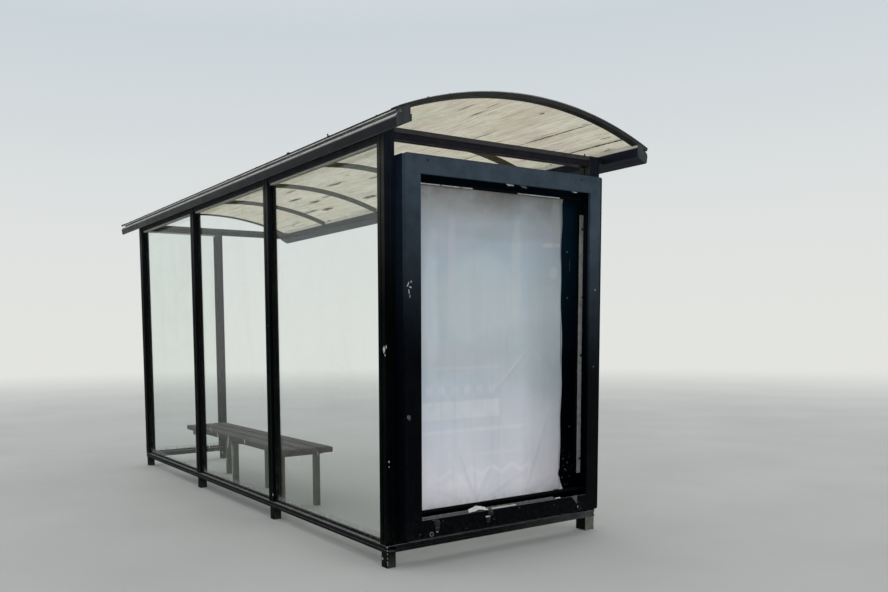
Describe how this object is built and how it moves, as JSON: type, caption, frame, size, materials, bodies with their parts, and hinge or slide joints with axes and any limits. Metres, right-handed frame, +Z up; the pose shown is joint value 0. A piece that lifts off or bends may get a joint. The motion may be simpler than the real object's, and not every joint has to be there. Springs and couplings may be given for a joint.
{
  "type": "bus shelter",
  "caption": "Bus shelter with three glazed bays, a curved translucent roof on arched ribs, a bench and a poster case with a top-hung door at the near end.",
  "frame": {"origin": "middle of the shelter's box, on the ground under the feet", "axes": "+X along the shelter away from the poster case, +Y towards the glazed back wall, +Z up"},
  "size_m": [4.69, 1.805, 2.4942],
  "materials": {
    "frame_paint": "satin, dusty",
    "eave_paint": "satin, dusty",
    "rib_paint": "matt, dusty",
    "roof_sheet": "translucent, stained",
    "glass": "clear, dirty",
    "rubber": "matt",
    "case_paint": "satin",
    "case_inside": "matt",
    "bare_metal": "dull",
    "poster_film": "satin, creased",
    "bench_wood": "worn",
    "bench_paint": "satin, worn"
  },
  "bodies": {
    "shelter": {"back_post_1": "frame_paint", "back_post_2": "frame_paint", "back_post_3": "frame_paint", "back_post_4": "frame_paint", "near_front_post": "frame_paint", "far_side_post": "frame_paint", "feet": "frame_paint", "back_sill": "frame_paint", "near_end_sill": "frame_paint", "far_side_sill": "frame_paint", "back_top_rail": "frame_paint", "near_tie_beam": "frame_paint", "far_tie_beam": "frame_paint", "back_eave_beam": "eave_paint", "front_eave_beam": "eave_paint", "eave_end_caps": "eave_paint", "near_end_arch": "eave_paint", "far_end_arch": "eave_paint", "roof_rib_1": "rib_paint", "roof_rib_2": "rib_paint", "roof_rib_3": "rib_paint", "roof_rib_4": "rib_paint", "roof_sheet": "roof_sheet", "back_glass_1": "glass", "back_glass_2": "glass", "back_glass_3": "glass", "far_side_glass": "glass", "back_glass_beads": "rubber", "far_side_bead": "rubber", "poster_case": "case_inside", "case_uprights": "bare_metal", "door_hinges": "bare_metal", "poster": "poster_film", "poster_bars": "bare_metal", "bench_seat": "bench_wood", "bench_legs": "bench_paint"},
    "door": {"case_door": "case_paint", "door_locks": "bare_metal"}
  },
  "joints": [
    {"name": "door_swing", "type": "hinge", "parent": "shelter", "child": "door", "pos_m": [-2.168, 0.025, 2.154], "axis": [0, 1, 0], "range_deg": [0, 75]}
  ]
}
